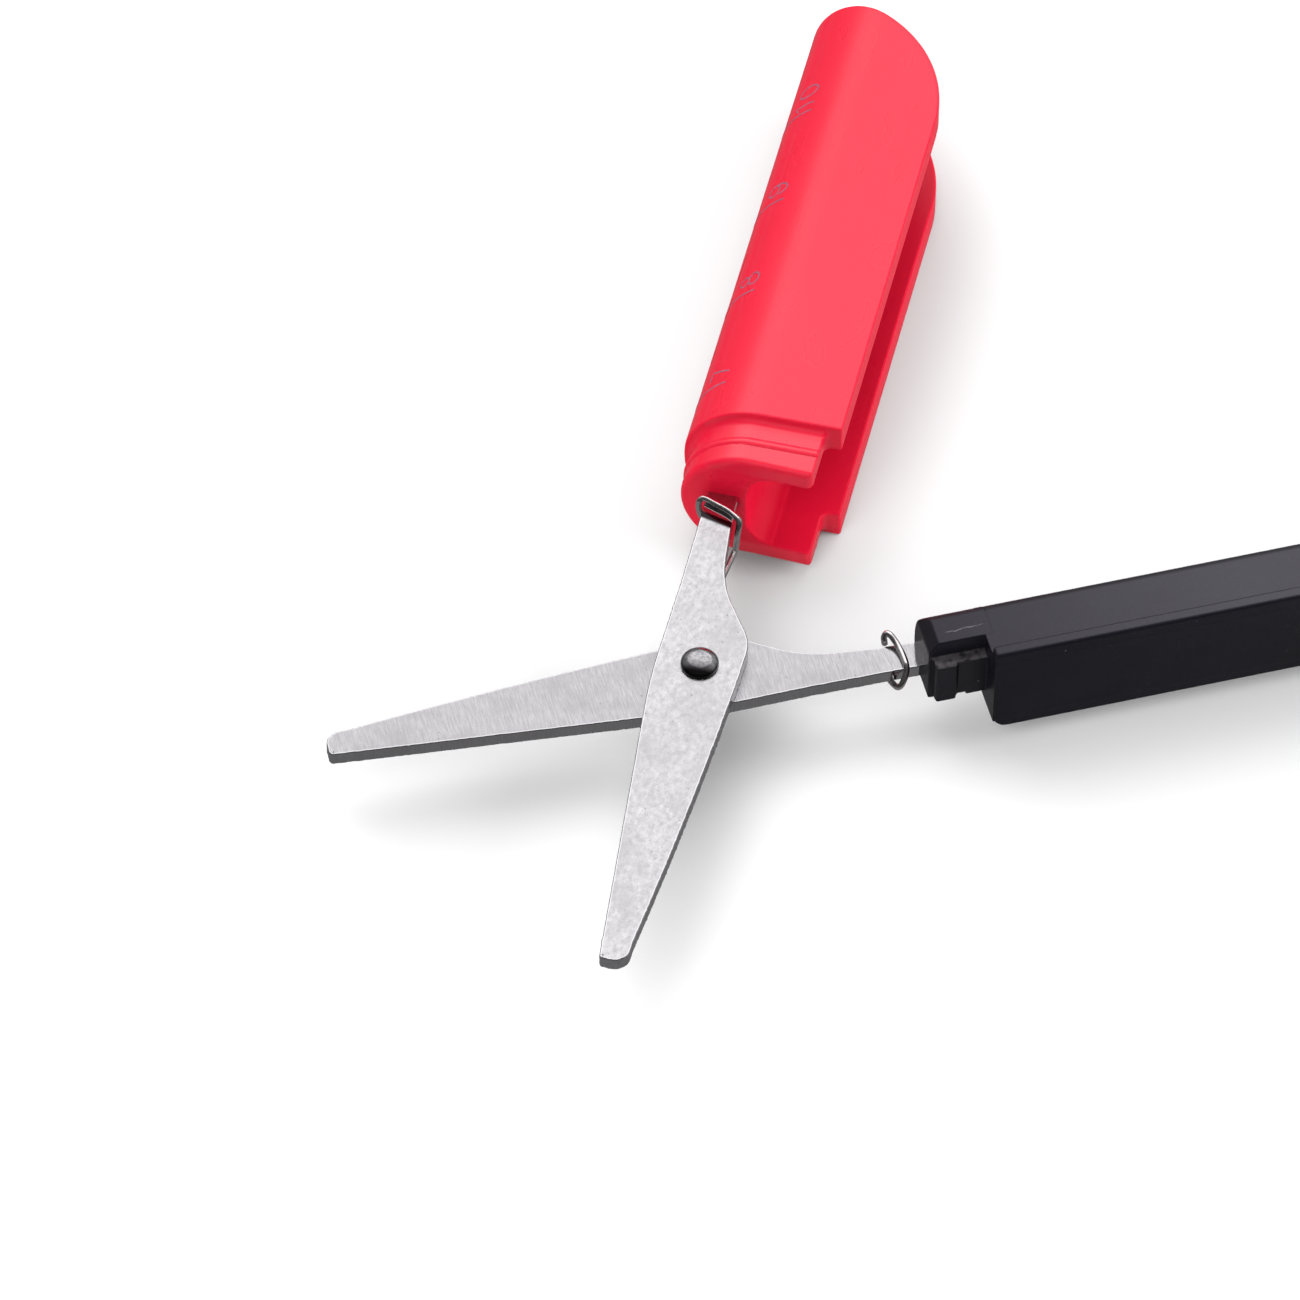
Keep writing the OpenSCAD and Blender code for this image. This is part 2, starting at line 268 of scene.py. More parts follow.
def skin(field, xs, ys, zs):
    """Closed mesh of quads over the surface where the field is zero."""
    shape = (len(xs), len(ys), len(zs))
    value = field(*np.meshgrid(xs, ys, zs, indexing="ij"))
    cells = tuple(n - 1 for n in shape)
    total = np.zeros(cells + (3,))
    count = np.zeros(cells)
    crossings = []
    for axis in range(3):
        low = [slice(None)] * 3
        high = [slice(None)] * 3
        low[axis], high[axis] = slice(0, -1), slice(1, None)
        a, b = value[tuple(low)], value[tuple(high)]
        crossed = (a < 0) != (b < 0)
        share = np.where(crossed, a / np.where(crossed, a - b, 1), 0)
        lines = [xs, ys, zs]
        grids = [g.reshape([-1 if k == i else 1 for k in range(3)]) for i, g in enumerate(lines)]
        spots = [np.broadcast_to(g if i != axis else 0, a.shape) for i, g in enumerate(grids)]
        g = lines[axis]
        start = g[:-1].reshape([-1 if k == axis else 1 for k in range(3)])
        length = np.diff(g).reshape([-1 if k == axis else 1 for k in range(3)])
        spots[axis] = start + share * length
        place = np.stack(spots, axis=-1) * crossed[..., None]
        others = [k for k in range(3) if k != axis]
        for i in (0, 1):
            for j in (0, 1):
                cut = [slice(None)] * 3
                cut[others[0]] = slice(i, i + cells[others[0]])
                cut[others[1]] = slice(j, j + cells[others[1]])
                total += place[tuple(cut)]
                count += crossed[tuple(cut)]
        crossings.append((axis, others, crossed, a < 0))
    used = count > 0
    number = np.full(cells, -1)
    number[used] = np.arange(used.sum())
    points = total[used] / count[used][:, None]
    faces = []
    for axis, others, crossed, inside in crossings:
        where = np.argwhere(crossed)
        flip = inside[crossed]
        around = []
        for i, j in ((0, 0), (1, 0), (1, 1), (0, 1)):
            cell = where.copy()
            cell[:, others[0]] -= 1 - i
            cell[:, others[1]] -= 1 - j
            around.append(number[tuple(cell.T)])
        quads = np.stack(around, axis=1)
        if axis == 1:
            flip = ~flip
        quads[~flip] = quads[~flip][:, ::-1]
        faces.append(quads)
    return settle(field, points), np.concatenate(faces)


def slope_of(field, p, h=1e-3):
    """Direction in which the field grows fastest at each point, and how fast."""
    columns = []
    for k in range(3):
        ahead, behind = p.copy(), p.copy()
        ahead[:, k] += h
        behind[:, k] -= h
        columns.append((field(*ahead.T) - field(*behind.T)) / (2 * h))
    return np.stack(columns, axis=1)


def settle(field, p):
    """Moves points that are near the surface onto it."""
    for _ in range(3):
        g = slope_of(field, p)
        step = field(*p.T) / np.maximum((g**2).sum(1), 0.25)
        p = p - np.clip(step, -0.06, 0.06)[:, None] * g
    return p


# ------------------------------------------------------------------ node helpers


def new_material(name, **values):
    """Material with one Principled shader, whose plain values are given by socket name."""
    material = bpy.data.materials.new(name)
    material.use_nodes = True
    shader = material.node_tree.nodes["Principled BSDF"]
    for socket, value in values.items():
        shader.inputs[socket.replace("_", " ")].default_value = value
    return material, shader


def put(material, kind, inputs=None, **settings):
    """Adds a node. An input is a plain value, or the output socket of another node."""
    made = material.node_tree.nodes.new("ShaderNode" + kind)
    for key, value in settings.items():
        setattr(made, key, value)
    for key, value in (inputs or {}).items():
        if isinstance(value, bpy.types.NodeSocket):
            material.node_tree.links.new(value, made.inputs[key])
        else:
            made.inputs[key].default_value = value
    return made


def part_place(material, scale=(1, 1, 1), turn=0.0):
    """Millimetres of the half, turned about its up axis and stretched."""
    place = put(material, "Attribute", attribute_name="part")
    return put(
        material,
        "Mapping",
        {"Vector": place.outputs["Vector"], "Rotation": (0, 0, turn), "Scale": scale},
        vector_type="POINT",
    ).outputs["Vector"]


def grain(material, scale, turn=0.0, detail=3.0, rough=0.6, size=1.0):
    """Noise stretched over the half's millimetres, from 0 to 1."""
    where = part_place(material, scale, turn)
    inputs = {"Vector": where, "Scale": size, "Detail": detail, "Roughness": rough}
    return put(material, "TexNoise", inputs).outputs["Fac"]


def spread(material, value, low, high, to_low=0.0, to_high=1.0):
    """Stretches a value from one range to another, and stops at its ends."""
    inputs = {0: value, 1: low, 2: high, 3: to_low, 4: to_high}
    return put(material, "MapRange", inputs, clamp=True).outputs[0]


def calc(material, a, b, operation="MULTIPLY"):
    """Result of a Math node on two numbers or sockets."""
    return put(material, "Math", {0: a, 1: b}, operation=operation).outputs[0]


def near_to(material, value, target, margin):
    """1 where the value is within the margin of the target, and 0 elsewhere."""
    return put(material, "Math", {0: value, 1: target, 2: margin}, operation="COMPARE").outputs[0]


def blend_colour(material, share, a, b):
    """Colour a where the share is 0 and b where it is 1."""
    mix = put(material, "Mix", data_type="RGBA")
    for socket, value in ((mix.inputs[0], share), (mix.inputs[6], a), (mix.inputs[7], b)):
        if isinstance(value, bpy.types.NodeSocket):
            material.node_tree.links.new(value, socket)
        else:
            socket.default_value = value
    return mix.outputs[2]


def specks(material, spacing, radius, seed=0.0, share=0.42):
    """1 in small round specks that lie about a spacing apart, and 0 between them."""
    where = part_place(material, (1 / spacing,) * 3, seed)
    cells = put(material, "TexVoronoi", {"Vector": where, "Scale": 1.0, "Randomness": 1.0})
    chosen = put(material, "SeparateColor", {0: cells.outputs["Color"]}).outputs[0]
    near = spread(material, cells.outputs["Distance"], radius * 0.6, radius, 1.0, 0.0)
    return calc(material, near, spread(material, chosen, 1 - share, 1.05 - share))


def link(material, value, shader, socket):
    material.node_tree.links.new(value, shader.inputs[socket])


def bump(material, shader, height, distance, strength=1.0):
    """Adds relief: the height from 0 to 1 stands for the distance in metres."""
    inputs = {"Height": height, "Distance": distance, "Strength": strength}
    made = put(material, "Bump", inputs)
    material.node_tree.links.new(made.outputs[0], shader.inputs["Normal"])


# ------------------------------------------------------------------ materials


def red_plastic():
    material, shader = new_material("red_plastic", Roughness=0.3, IOR=1.5)
    flow = grain(material, (0.12, 0.05, 0.12), detail=2)
    cloud = grain(material, (0.9, 0.6, 0.9), turn=0.4, detail=1)
    base = blend_colour(
        material, spread(material, flow, 0.1, 0.9), (0.82, 0.005, 0.034, 1), (0.92, 0.008, 0.046, 1)
    )
    base = blend_colour(
        material, calc(material, spread(material, cloud, 0.1, 0.9), 0.06), base, (1, 0.03, 0.07, 1)
    )
    dust = specks(material, 4.3, 0.03, 0.3, 0.12)
    base = blend_colour(material, calc(material, dust, 0.35), base, (0.95, 0.35, 0.40, 1))
    axes = put(material, "SeparateXYZ", {0: part_place(material)}).outputs
    # painted shade: a thin darker line along the flat top
    painted_shade_line = near_to(material, axes[0], 4.3, 0.045)
    painted_shade_line = calc(material, painted_shade_line, spread(material, axes[2], 6.0, 6.2, 0, 0.3))
    base = blend_colour(material, painted_shade_line, base, (0.45, 0.005, 0.03, 1))
    # the plastic throws a muted light on what is round it, so the table stays white
    bounced = put(material, "LightPath").outputs["Is Diffuse Ray"]
    base = blend_colour(material, bounced, base, (0.30, 0.11, 0.11, 1))
    link(material, base, shader, "Base Color")
    scuffs = grain(material, (0.5, 0.2, 0.5), turn=0.9, detail=1)
    link(material, spread(material, scuffs, 0.1, 0.9, 0.25, 0.33), shader, "Roughness")
    on_neck = spread(material, axes[1], SHOULDER - 1, SHOULDER, 0.75, 0.52)
    # the channel and the open edges were never polished
    height = put(material, "Math", {0: axes[2]}, operation="ABSOLUTE").outputs[0]
    polish = spread(material, height, CHANNEL_HALF + 0.05, CHANNEL_HALF + 0.45, 0.3, 1)
    polish = calc(material, polish, spread(material, axes[0], FLANGE - 0.2, FLANGE - 0.05, 1, 0.35))
    link(material, calc(material, on_neck, polish), shader, "Specular IOR Level")
    fine = grain(material, (0.5, 0.3, 0.5), detail=0)
    bump(material, shader, fine, 0.000002)
    return material


def black_plastic():
    material, shader = new_material("black_plastic", IOR=1.5, Specular_Tint=(0.91, 0.87, 1, 1))
    cloud = grain(material, (0.25, 0.12, 0.25), detail=3)
    base = blend_colour(material, cloud, (0.004, 0.004, 0.006, 1), (0.010, 0.009, 0.014, 1))
    hair = grain(material, (0.35, 6.0, 2.5), turn=0.55, detail=6, rough=0.75)
    patch = grain(material, (0.35, 0.35, 0.35), turn=1.1, detail=2)
    marks = calc(
        material, spread(material, hair, 0.63, 0.7), spread(material, patch, 0.52, 0.62)
    )
    dust = specks(material, 1.9, 0.045, seed=0.7)
    pale = calc(material, calc(material, marks, 0.5), calc(material, dust, 0.7), "MAXIMUM")
    base = blend_colour(material, pale, base, (0.16, 0.15, 0.17, 1))
    axes = put(material, "SeparateXYZ", {0: part_place(material)}).outputs
    # painted light on top of the snap: its top face is made paler, with a ragged front edge
    level = near_to(material, axes[2], SNAP_HALF, 0.16)
    beside = spread(material, axes[0], -NECK_FRONT - 0.02, -NECK_FRONT + 0.02, 1, 0)
    snap = calc(material, level, beside)
    snap = calc(material, snap, spread(material, axes[1], SHOULDER - 0.1, SHOULDER, 1, 0))
    ragged = grain(material, (1.6, 1.6, 1.6), detail=4)
    snap = calc(material, snap, spread(material, ragged, 0.3, 0.5))
    base = blend_colour(material, calc(material, snap, 0.8), base, (0.085, 0.080, 0.085, 1))
    # the handle is shinier where it is held, and duller on its front
    shine = spread(material, axes[1], NECK, 42, 0.42, 0.86)
    front = spread(material, axes[0], -PLATE_SIDE + 0.05, -PLATE_SIDE + 0.15, 0.45, 1)
    link(material, calc(material, shine, front), shader, "Specular IOR Level")
    # one long scratch on top of the neck
    wander = spread(material, grain(material, (0.9, 0.9, 0.9), detail=3), 0.3, 0.7, -0.12, 0.12)
    wander = calc(material, axes[0], wander, "ADD")
    scratch = near_to(material, wander, -3.56, 0.05)
    scratch = calc(material, scratch, spread(material, axes[1], 18.4, 18.9))
    scratch = calc(material, scratch, spread(material, axes[1], 21.0, 21.6, 1, 0))
    scratch = calc(material, scratch, spread(material, ragged, 0.38, 0.56, 0.05, 0.55))
    base = blend_colour(material, scratch, base, (0.20, 0.19, 0.20, 1))
    link(material, base, shader, "Base Color")
    satin = grain(material, (6, 6, 6), detail=3)
    rough = spread(material, satin, 0.3, 0.7, 0.34, 0.46)
    rough = calc(material, rough, calc(material, marks, 0.2), "ADD")
    link(material, rough, shader, "Roughness")
    bump(material, shader, satin, 0.000010)
    return material


SLANT_TURN = math.radians(14)


def blade_steel(name, across, along, shade, band_shade):
    """Stamped steel with its grain drawn out across and along the blade, by these lengths in mm.

    band_shade is how dark the slanting band of painted shade is, where the spring rubs, from 0 to
    1.
    """
    material, shader = new_material(name, Metallic=1.0)
    streaks = grain(material, (1 / across, 1 / along, 1), detail=5, rough=0.7)
    fine = grain(material, (2.6 / across, 2.6 / along, 1), detail=4, rough=0.75)
    blotch = grain(material, (0.45, 0.3, 0.45), turn=0.5, detail=3)
    light = calc(material, spread(material, streaks, 0.3, 0.7), 0.65)
    light = calc(material, light, calc(material, spread(material, fine, 0.3, 0.7), 0.35), "ADD")
    low = tuple(0.6 * v for v in shade) + (1,)
    high = tuple(min(1.0, 1.22 * v) for v in shade) + (1,)
    base = blend_colour(material, light, low, high)
    wear_and_edge_light = spread(material, blotch, 0.45, 0.7, 0.0, 0.6)
    base = blend_colour(material, wear_and_edge_light, base, tuple(0.72 * v for v in shade) + (1,))
    pits = specks(material, 0.75, 0.11, seed=0.2)
    spots = specks(material, 0.33, 0.12, seed=2.1)
    dark = calc(material, calc(material, pits, 0.6), calc(material, spots, 0.3), "MAXIMUM")
    base = blend_colour(material, dark, base, (0.16, 0.155, 0.165, 1))
    # painted highlight along the blade's edges, where light catches them
    painted_edge_light = put(material, "Attribute", attribute_name="painted_edge_light").outputs["Fac"]
    edge_highlight_share = spread(material, painted_edge_light, 0.55, 0.95, 0, 0.75)
    base = blend_colour(material, edge_highlight_share, base, (0.82, 0.80, 0.83, 1))
    slant = put(material, "SeparateXYZ", {0: part_place(material, turn=SLANT_TURN)}).outputs[1]
    rubbed = spread(material, slant, 12.4, 13.2)
    # painted shade: a dark slanting band on the blade beside the spring wire
    if band_shade:
        shade_band = spread(material, slant, 13.1, 13.3)
        shade_band = calc(material, shade_band, spread(material, slant, 13.75, 13.9, 1, 0))
        base = blend_colour(material, calc(material, shade_band, band_shade), base, (0.03, 0.022, 0.025, 1))
    link(material, base, shader, "Base Color")
    rough = spread(material, fine, 0.3, 0.75, 0.20, 0.34)
    rough = calc(material, rough, spread(material, rubbed, 0, 1, 1.0, 0.25))
    link(material, rough, shader, "Roughness")
    height = calc(material, light, calc(material, pits, 0.8), "SUBTRACT")
    bump(material, shader, height, 0.000010, spread(material, rubbed, 0, 1, 0.7, 0.12))
    return material


def rivet_steel():
    material, shader = new_material("rivet_steel", Metallic=1.0)
    turned = grain(material, (3, 3, 3), detail=5)
    base = blend_colour(
        material, spread(material, turned, 0.35, 0.7), (0.24, 0.235, 0.25, 1), (0.58, 0.57, 0.59, 1)
    )
    # painted shade: the dome is darker towards its low-along side, standing in for a dark
    # reflection
    along_part = put(material, "SeparateXYZ", {0: part_place(material)}).outputs[1]
    painted_dark_side = spread(material, along_part, -1.1, 0.15, 1, 0)
    base = blend_colour(material, painted_dark_side, base, (0.07, 0.065, 0.07, 1))
    link(material, base, shader, "Base Color")
    link(material, spread(material, turned, 0.3, 0.7, 0.05, 0.13), shader, "Roughness")
    bump(material, shader, turned, 0.000012)
    return material


def spring_wire():
    material, shader = new_material("spring_wire", Metallic=1.0)
    drawn = grain(material, (9, 2.5, 9), detail=4)
    base = blend_colour(
        material, spread(material, drawn, 0.35, 0.7), (0.62, 0.58, 0.59, 1), (0.95, 0.91, 0.91, 1)
    )
    link(material, base, shader, "Base Color")
    link(material, spread(material, drawn, 0.3, 0.7, 0.10, 0.20), shader, "Roughness")
    bump(material, shader, drawn, 0.000008)
    return material


def ruler_ink():
    material, shader = new_material("ruler_ink", Roughness=0.45)
    wear_and_edge_light = grain(material, (5, 5, 5), detail=4)
    base = blend_colour(
        material, spread(material, wear_and_edge_light, 0.35, 0.65), (0.22, 0.10, 0.16, 1), (0.45, 0.15, 0.24, 1)
    )
    link(material, base, shader, "Base Color")
    return material


RED, BLACK, INK = red_plastic(), black_plastic(), ruler_ink()
STEEL_A = blade_steel("upper_blade_steel", 0.42, 0.6, (0.56, 0.548, 0.568), 1.0)
STEEL_B = blade_steel("lower_blade_steel", 1.6, 0.14, (0.468, 0.458, 0.476), 0)
RIVET, WIRE = rivet_steel(), spring_wire()

# ------------------------------------------------------------------ handles

# spacing of the grid lines: across, at the neck, along the straight part and at the far end
FINE, AT_NECK, STRAIGHT, AT_END = 0.14, 0.12, 0.7, 0.2
STRAIGHT_END = 53.5

red_points, red_faces = skin(
    red_field,
    steps((-6.73, 7.13, FINE)),
    steps(
        (16.68, 22.2, AT_NECK),
        (22.2, 33.6, STRAIGHT),
        (33.6, 34.7, FINE),
        (34.7, STRAIGHT_END, STRAIGHT),
        (STRAIGHT_END, 67.5, AT_END),
    ),
    steps((-6.7, 6.7, FINE)),
)
red_handle = make_piece("red_handle", red_points, red_faces, "red", RED)
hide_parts("outer_handle")

black_points, black_faces = skin(
    black_field,
    steps((0.13, 7.83, FINE)),
    steps((16.8, 23.3, AT_NECK), (23.3, STRAIGHT_END, STRAIGHT), (STRAIGHT_END, 67.5, AT_END)),
    steps((-4.72, 4.68, FINE)),
)
black_points[:, 0] *= -1
black_handle = make_piece("black_handle", black_points, black_faces, "black", BLACK)
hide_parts("inner_handle")

HANDLES = (
    (red_handle, red_field, on_red, red_points, (1, 1, 1)),
    (black_handle, black_field, on_black, black_points, (-1, 1, 1)),
)
for handle, field, place, points, mirror in HANDLES:
    work = bmesh.new()
    work.from_mesh(handle.data)
    bmesh.ops.recalc_face_normals(work, faces=work.faces)
    work.to_mesh(handle.data)
    work.free()
    # shaded by the field's own slope, which is smoother than the mesh
    rising = slope_of(field, points * mirror) * mirror
    rising /= np.maximum(np.linalg.norm(rising, axis=1), 1e-6)[:, None]
    normals = (place(points + rising) - place(points)) / MM
    handle.data.normals_split_custom_set_from_vertices(normals.tolist())

# ------------------------------------------------------------------ blades


def arc(x, y, r, start, end, count):
    angles = np.radians(np.linspace(start, end, count + 1))
    return np.stack([x + r * np.cos(angles), y + r * np.sin(angles)], axis=1)


def bend(a, b, c, count):
    """Curve from a to c, drawn towards b."""
    t = np.linspace(0, 1, count + 1)[:, None]
    return (1 - t) ** 2 * np.array(a) + 2 * t * (1 - t) * np.array(b) + t**2 * np.array(c)


def blade_outline():
    return np.concatenate([
        arc(-0.42, 0.35 - BLADE_REACH, 0.35, 270, 180, 10),
        bend((-3.15, -5), (-3.42, -2.6), (-3.4, 0.5), 18),
        [(-3.33, 8), (-3.42, NECK), (-3.42, 18), (-2.7, 18), (-2.7, 32.1)],
        [(-1.3, 32.1), (-1.3, 18), (-0.98, 18), (-0.98, NECK), (-0.85, 14)],
        bend((-0.45, 10.5), (-0.05, 8), (1.07, 6.4), 14),
        bend((2.5, 4.2), (3.3, 3.1), (3.25, 1.6), 14),
        bend((3.2, -1), (2.7, -14), (1.42, -27.2), 24),
        arc(0.2, 1.2 - BLADE_REACH, 1.2, 0, -90, 16),
    ])


def divided(outline, longest):
    """The outline with its long edges cut into even pieces."""
    kept = []
    for a, b in zip(outline, np.roll(outline, -1, axis=0)):
        count = max(1, int(np.ceil(np.linalg.norm(b - a) / longest)))
        kept.extend(a + (b - a) * i / count for i in range(count))
    return np.array(kept)


def inset(outline, distance):
    """The outline moved inwards. It runs anticlockwise, so the inside is on its left."""
    before = outline - np.roll(outline, 1, axis=0)
    after = np.roll(outline, -1, axis=0) - outline
    normals = []
    for edge in (before, after):
        unit = edge / np.linalg.norm(edge, axis=1)[:, None]
        normals.append(np.stack([-unit[:, 1], unit[:, 0]], axis=1))
    mean = normals[0] + normals[1]
    mean /= np.linalg.norm(mean, axis=1)[:, None]
    reach = distance / np.clip((mean * normals[0]).sum(1), 0.5, 1)
    return outline + mean * reach[:, None]


def blade_mesh(low, high, hole_r, seed):
    """Flat blade with slightly broken edges, a little rough from the stamping, and its hole. Each
    point also gets its share of the painted highlight along the edges.
    """
    outline = divided(blade_outline(), 0.25)
    x, y = outline.T
    if np.sum(x * np.roll(y, -1) - y * np.roll(x, -1)) < 0:
        outline = outline[::-1]
    burr = np.random.default_rng(seed).normal(0, 0.011, len(outline))
    burr *= outline[:, 1] < NECK - 0.5
    outline = outline + (inset(outline, 1.0) - outline) * burr[:, None]
    edge, rim_width = 0.06, 0.3
    hole = arc(0, 0, hole_r, 0, 360, 48)[:-1]
    wide, narrow = outline, inset(outline, edge)
    inner = inset(outline, rim_width)
    levels = [(inner, low), (narrow, low), (wide, low + edge), (wide, high - edge), (narrow, high)]
    levels.append((inner, high))
    points, faces, n = [], [], len(outline)
    for ring, z in levels:
        points += [(x, y, z) for x, y in ring]
    for level in range(len(levels) - 1):
        for i in range(n):
            j = (i + 1) % n
            faces.append((level * n + i, level * n + j, (level + 1) * n + j, (level + 1) * n + i))
    base, m = len(points), len(hole)
    points += [(x, y, z) for z in (low, high) for x, y in hole]
    for i in range(m):
        j = (i + 1) % m
        faces.append((base + j, base + i, base + m + i, base + m + j))
    flat = tessellate_polygon([
        [Vector((x, y, 0)) for x, y in inner],
        [Vector((x, y, 0)) for x, y in hole],
    ])
    for first, circle, up in ((0, base, False), ((len(levels) - 1) * n, base + m, True)):
        for triangle in flat:
            ids = [first + i if i < n else circle + i - n for i in triangle]
            a, b, c = (np.array(points[i]) for i in ids)
            rising = np.cross(b - a, c - a)[2] > 0
            faces.append(tuple(ids) if rising == up else tuple(reversed(ids)))
    # painted highlight: full along the narrow edge rings, a little less on the side walls
    wear_and_edge_light = np.zeros(len(points))
    wear_and_edge_light[n : 2 * n] = wear_and_edge_light[4 * n : 5 * n] = 1
    wear_and_edge_light[2 * n : 4 * n] = 0.72
    return np.array(points), faces, wear_and_edge_light


BLADES = (
    ("upper_blade_steel", 0.015, BLADE_TOP, 1.0, "red", STEEL_A, "upper_blade", 3),
    ("lower_blade_steel", -BLADE_TOP, -0.015, 1.05, "black", STEEL_B, "lower_blade", 4),
)
for name, low, high, hole_r, half, steel, node, seed in BLADES:
    points, faces, wear_and_edge_light = blade_mesh(low, high, hole_r, seed)
    blade = make_piece(name, points, faces, half, steel)
    blade.data.attributes.new("painted_edge_light", "FLOAT", "POINT").data.foreach_set("value", wear_and_edge_light)
    blade.data.set_sharp_from_angle(angle=math.radians(30))
    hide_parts(node)

# ------------------------------------------------------------------ rivet


def turned(profile, count=72):
    """Closed solid turned about the pivot from (radius, up) points, with both ends on the axis."""
    inner = profile[1:-1]
    points = [(0, 0, profile[0][1]), (0, 0, profile[-1][1])]
    angles = np.linspace(0, 2 * math.pi, count, endpoint=False)
    for r, z in inner:
        points += [(r * math.cos(a), r * math.sin(a), z) for a in angles]
    faces = []
    for i in range(count):
        j = (i + 1) % count
        faces.append((0, 2 + j, 2 + i))
        last = 2 + (len(inner) - 1) * count
        faces.append((1, last + i, last + j))
        for k in range(len(inner) - 1):
            a, b = 2 + k * count, 2 + (k + 1) * count
            faces.append((a + i, a + j, b + j, b + i))
    return np.array(points), faces


BLADE_DEPTH, GAP = 1.2, 0.05
PIN_R, TAIL_R, TAIL_H = 1.0, 1.75, 0.65
coil_top = -(BLADE_DEPTH + WIRE_R + GAP)
coil_pitch = 2 * WIRE_R + 0.04
coil_sweep = 90 - math.degrees(OPEN_ANGLE) + 90 + 720
coil_bottom = coil_top - coil_pitch * coil_sweep / 360
tail_top = coil_bottom - WIRE_R - GAP
HEAD_R, DOME_LOW, DOME_RISE = 1.48, 1.36, 0.69
dome = [
    (HEAD_R * math.cos(a), DOME_LOW + DOME_RISE * math.sin(a))
    for a in np.linspace(0, math.pi / 2, 22)
]
tail = [
    (0, tail_top - TAIL_H), (1.5, tail_top - TAIL_H), (1.68, tail_top - 0.58),
    (TAIL_R, tail_top - 0.42), (TAIL_R, tail_top - 0.1), (1.68, tail_top),
]
pin = [(PIN_R, tail_top), (PIN_R, BLADE_TOP), (1.42, BLADE_TOP), (1.47, BLADE_TOP + 0.05)]
profile = tail + pin + dome[:-1] + [(0, dome[-1][1])]
points, faces = turned(profile)
dent = 0.09 * np.exp(-((points[:, 0] - 0.05) ** 2 + (points[:, 1] + 0.15) ** 2) / 0.12)
points[:, 2] -= dent * (points[:, 2] > BLADE_TOP + 0.4)
rivet = make_piece("rivet", points, faces, "red", RIVET)
rivet.data.set_sharp_from_angle(angle=math.radians(40))
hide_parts("pivot_rivet")

# ------------------------------------------------------------------ spring

red_leg = [
    (-1.55, 0.6, coil_top), (-1.2, 5, coil_top), (-0.85, 10.5, coil_top), (-0.55, 13.4, coil_top),
    (-0.42, 13.9, -1.1), (-0.33, 14, 0.1), (-0.28, 14.25, 0.9), (-0.32, 14.55, 1.35),
    (-0.6, 14.82, 1.5), (-1.34, 15.32, 1.5), (-2.44, 15.76, 1.5), (-3.45, 16.12, 1.5),
    (-3.8, 16, 1.3), (-3.88, 15.92, 0.8), (-3.8, 15.83, 0.2), (-3.63, 15.78, -0.3),
]
black_leg = [
    (-1.6, 0.7, coil_bottom), (-1.75, 3, -2.2), (-1.95, 6, -1.6), (-2.2, 10, coil_top),
    (-2.35, 13.3, coil_top), (-2.65, 14.15, coil_top), (-3.3, 14.45, coil_top),
    (-3.87, 14.65, -1.4), (-4.1, 14.85, -1.15), (-4, 15.14, -0.75), (-3.6, 15.47, -0.15),
    (-3.2, 15.55, 0.26), (-2.4, 15.55, 0.3), (-1.6, 15.45, 0.36), (-0.99, 15.3, 0.5),
    (-0.45, 15.05, 0.7), (-0.2, 14.82, 0.68), (-0.22, 14.62, 0.35), (-0.33, 14.61, 0),
    (-0.33, 14.66, -0.35),
]


def through(points, count):
    """Smooth curve through the points, with so many steps between each two."""
    p = np.array(points, float)
    padded = np.concatenate([p[:1], p, p[-1:]])
    curve = []
    for i in range(len(p) - 1):
        a, b, c, d = padded[i : i + 4]
        for k in range(count):
            t = k / count
            curve.append(
                0.5 * (2 * b + (c - a) * t + (2 * a - 5 * b + 4 * c - d) * t**2
                       + (3 * b - a - 3 * c + d) * t**3)
            )
    return np.array(curve + [p[-1]])


def tube(path, radius, sides):
    """Round wire along a path, kept from twisting, with round ends."""
    along = np.gradient(path, axis=0)
    along /= np.linalg.norm(along, axis=1)[:, None]
    across = np.cross(along[0], (0.3, 1, 0.2))
    points, faces = [], []
    # (place on the path, how far past it, width as a share of the radius)
    last = len(path) - 1
    rings = [(0, -radius, 0.3)] + [(i, 0, 1.0) for i in range(last + 1)] + [(last, radius, 0.3)]
    for i, ahead, width in rings:
        across = across - across.dot(along[i]) * along[i]
        across /= np.linalg.norm(across)
        third = np.cross(along[i], across)
        middle = path[i] + along[i] * ahead * 0.8
        for k in range(sides):
            a = 2 * math.pi * k / sides
            points.append(middle + radius * width * (math.cos(a) * across + math.sin(a) * third))
    for i in range(len(rings) - 1):
        for k in range(sides):
            j = (k + 1) % sides
            faces.append((i * sides + k, i * sides + j, (i + 1) * sides + j, (i + 1) * sides + k))
    faces.append(tuple(range(sides))[::-1])
    faces.append(tuple((len(rings) - 1) * sides + k for k in range(sides)))
    return np.array(points), faces


turns = np.linspace(0, 1, 160)
angles = math.pi + np.radians(coil_sweep) * turns
coil = np.stack(
    [COIL_R * np.cos(angles), COIL_R * np.sin(angles), coil_top + (coil_bottom - coil_top) * turns],
    axis=1,
)
red_route = through(red_leg[::-1] + [(-COIL_R, 0, coil_top)], 8)
black_route = through([(-COIL_R, 0, coil_bottom)] + black_leg, 8)
black_in_red = (on_black(black_route) - PIVOT) / MM
wire_route = np.concatenate([red_route, coil[1:-1], black_in_red])
points, faces = tube(wire_route, WIRE_R, 14)
spring = make_piece("spring", points, faces, "red", WIRE, rides=False)
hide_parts("opening_spring")
towards = on_black([(0, 1, 0)])[0] - on_red([(0, 1, 0)])[0]
towards /= np.linalg.norm(towards)
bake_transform(spring)

# ------------------------------------------------------------------ printed ruler


def ellipse(x, y, rx, ry, start=0, end=360, count=20):
    angles = np.radians(np.linspace(start, end, count + 1))
    return [(x + rx * math.cos(a), y + ry * math.sin(a)) for a in angles]


